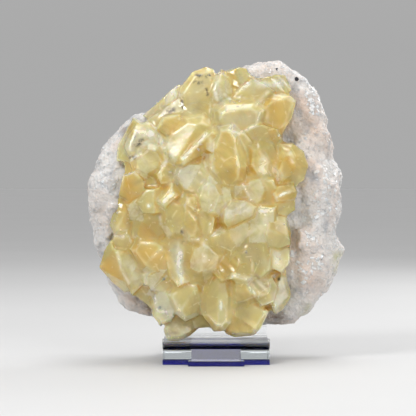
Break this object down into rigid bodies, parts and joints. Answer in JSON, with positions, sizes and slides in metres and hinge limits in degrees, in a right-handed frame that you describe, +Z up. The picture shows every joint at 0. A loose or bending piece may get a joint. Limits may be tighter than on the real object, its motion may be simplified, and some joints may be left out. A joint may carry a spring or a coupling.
{
  "type": "calcite cluster on heulandite",
  "caption": "Cluster of clear yellow calcite crystals grown on a rounded plate of white heulandite, held upright by a clear acrylic display stand on a dark blue base.",
  "frame": {"origin": "under the middle of the object's box, on the surface that the stand rests on", "axes": "+Z up, -Y towards the viewer who faces the crystals, +X to that viewer's right"},
  "size_m": [0.1566, 0.08, 0.1805],
  "materials": {
    "heulandite": "sugary white crust with pale pink and grey tints",
    "calcite": "clear to milky yellow, satin crystal faces",
    "clear_acrylic": "clear, polished edges",
    "blue_acrylic": "deep blue, polished"
  },
  "bodies": {
    "root": {"heulandite_matrix": "heulandite", "calcite_cluster": "calcite", "stand_cradle": "clear_acrylic", "stand_left_foot": "clear_acrylic", "stand_right_foot": "clear_acrylic", "stand_base": "blue_acrylic"}
  },
  "joints": []
}
